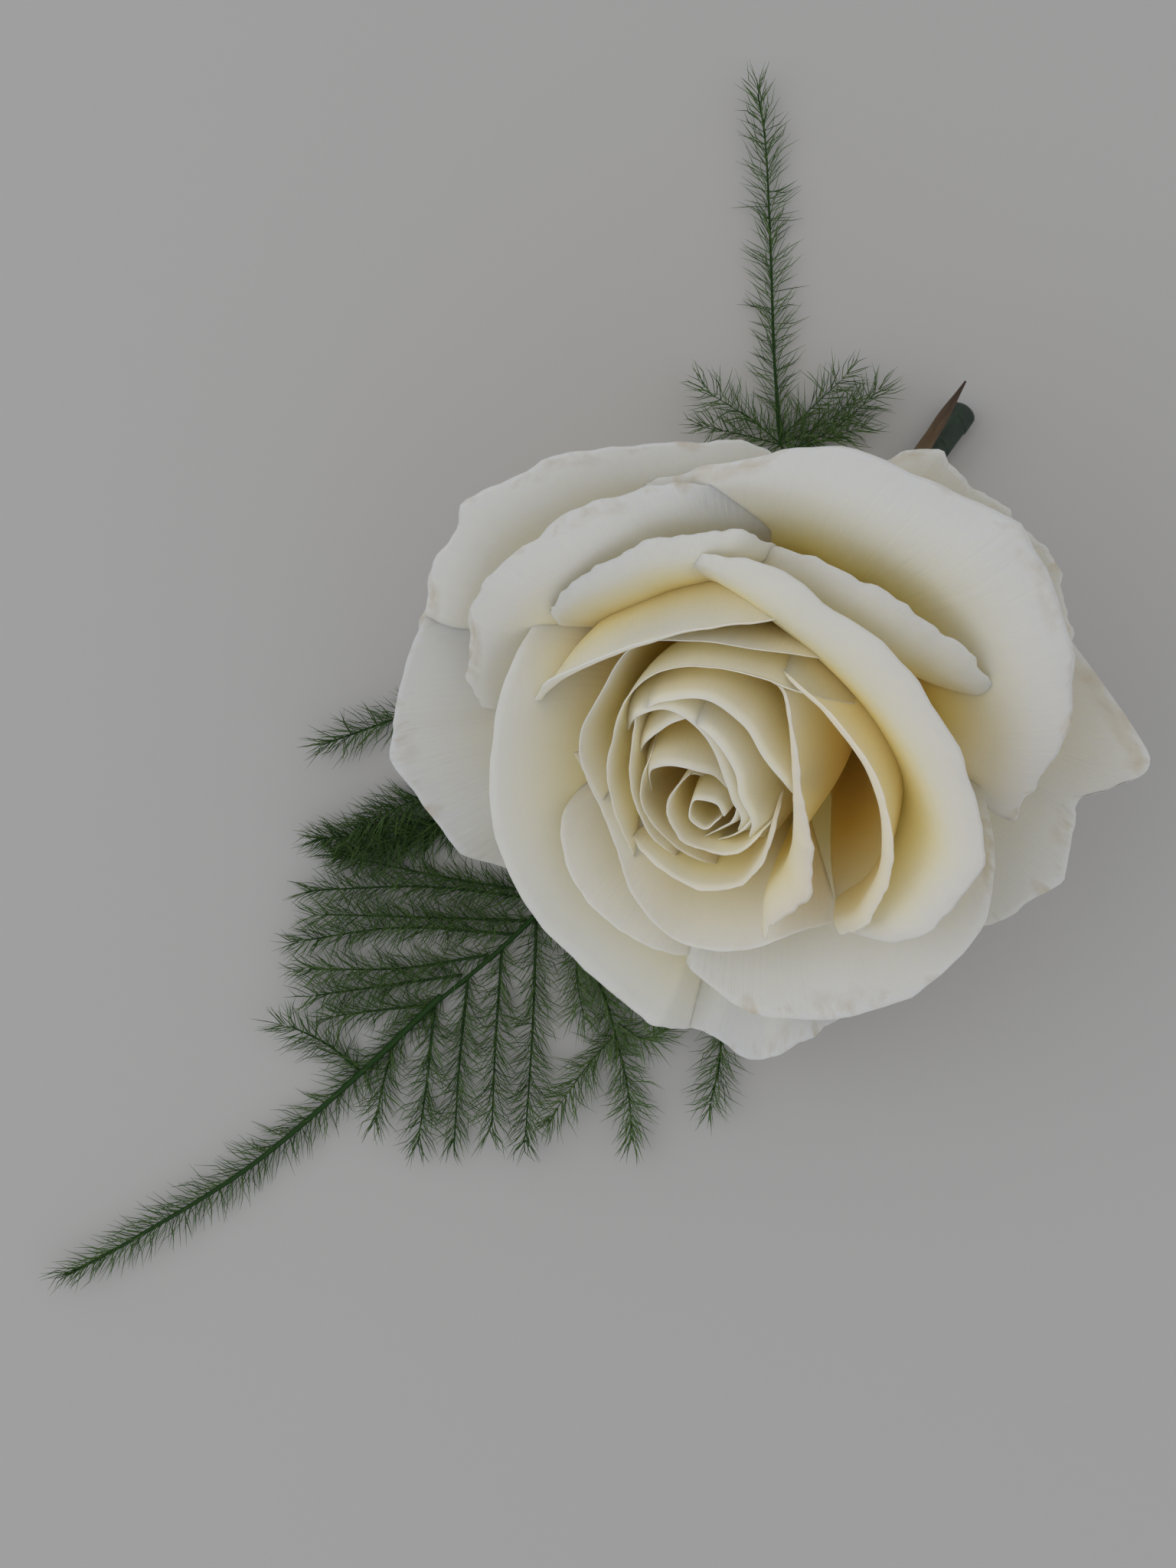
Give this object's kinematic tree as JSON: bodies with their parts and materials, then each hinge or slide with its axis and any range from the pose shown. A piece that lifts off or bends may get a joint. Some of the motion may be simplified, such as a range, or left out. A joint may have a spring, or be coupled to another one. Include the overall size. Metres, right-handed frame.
{
  "type": "single-rose bridal buttonhole with asparagus fern",
  "caption": "An open cream-white rose on a short taped stem, lying on its side among feathery sprigs of asparagus fern.",
  "frame": {"origin": "on the table, under the middle of the whole posy", "axes": "+Z up from the table; +Y along the long top sprig of fern; +X to the right when seen from above with +Y up"},
  "size_m": [0.1448, 0.1768, 0.0785],
  "materials": {
    "petal_heart": "soft matte petal, cream deepening to yellow at the foot",
    "petal_outer": "soft matte petal, off-white with a cream foot and faint veins",
    "hip": "smooth waxy green",
    "sepal": "matte olive brown, dark at the tip",
    "stem": "satin green bark",
    "tape": "dark green waxed crepe tape, wound in a spiral",
    "fern": "matte dark green needles on a thin stalk"
  },
  "bodies": {
    "root": {"bud_petal_1": "petal_heart", "bud_petal_2": "petal_heart", "bud_petal_3": "petal_heart", "bud_petal_4": "petal_heart", "bud_petal_5": "petal_heart", "bud_petal_6": "petal_heart", "bud_petal_7": "petal_heart", "bud_petal_8": "petal_heart", "bud_petal_9": "petal_heart", "heart_petal_1": "petal_heart", "heart_petal_2": "petal_heart", "heart_petal_3": "petal_heart", "heart_petal_4": "petal_heart", "heart_petal_5": "petal_heart", "heart_petal_6": "petal_heart", "cup_petal_1": "petal_outer", "cup_petal_2": "petal_outer", "cup_petal_3": "petal_outer", "cup_petal_4": "petal_outer", "cup_petal_5": "petal_outer", "cup_petal_6": "petal_outer", "cup_petal_7": "petal_outer", "cup_petal_8": "petal_outer", "outer_petal_1": "petal_outer", "outer_petal_2": "petal_outer", "outer_petal_3": "petal_outer", "outer_petal_4": "petal_outer", "outer_petal_5": "petal_outer", "outer_petal_6": "petal_outer", "outer_petal_7": "petal_outer", "outer_petal_8": "petal_outer", "outer_petal_9": "petal_outer", "rose_hip": "hip", "sepal_1": "sepal", "sepal_2": "sepal", "sepal_3": "sepal", "sepal_4": "sepal", "sepal_5": "sepal", "stem": "stem", "florist_tape": "tape", "fern_clump_left": "fern", "fern_frond_bottom": "fern", "fern_frond_left": "fern", "fern_frond_top": "fern", "fern_tip_bottom": "fern", "fern_tip_left": "fern"}
  },
  "joints": []
}
